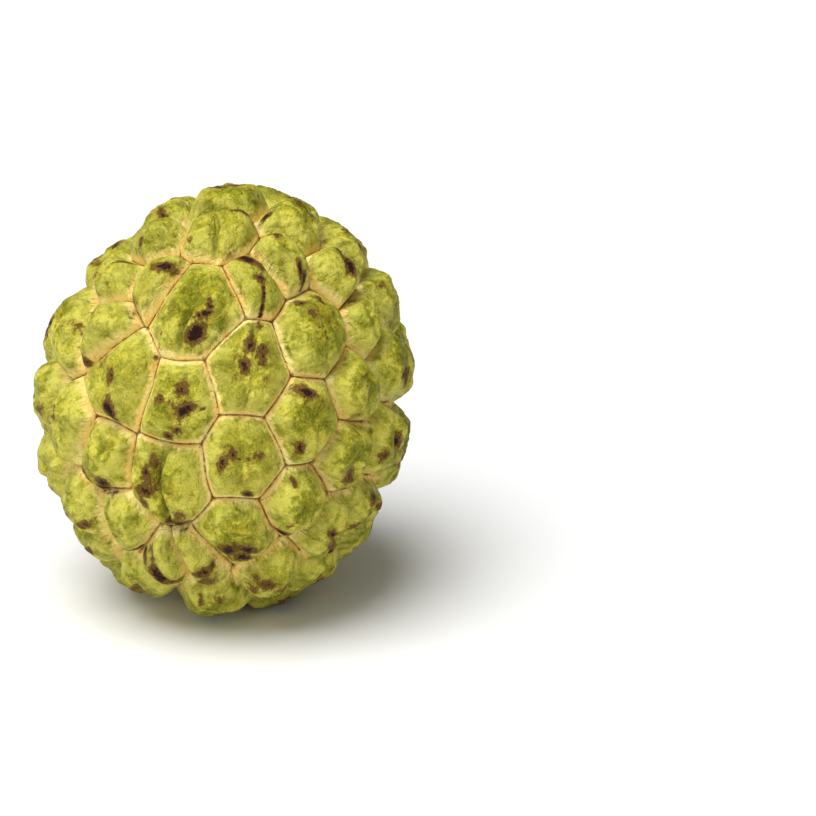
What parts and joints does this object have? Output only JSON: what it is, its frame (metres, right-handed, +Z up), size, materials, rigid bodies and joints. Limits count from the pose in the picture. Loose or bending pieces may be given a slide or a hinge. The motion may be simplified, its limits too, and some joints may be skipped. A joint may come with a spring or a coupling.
{
  "type": "custard apple",
  "caption": "Whole custard apple: a lumpy egg-shaped green fruit covered in rounded knobbly scales with cream grooves, resting on one flattened scale, with a short woody stem stub.",
  "frame": {"origin": "on the resting plane, under the middle of the fruit's bounding box; the small flat spot that the fruit rests on is around it", "axes": "+Z up, along the fruit's longest extent; -Y is the side with the boldest scales; the stem grows out of the +Y side, high up, a little toward +X"},
  "size_m": [0.088, 0.09, 0.098],
  "materials": {
    "skin": "matte",
    "stem": "matte"
  },
  "bodies": {
    "root": {"fruit": "skin", "stem": "stem"}
  },
  "joints": []
}
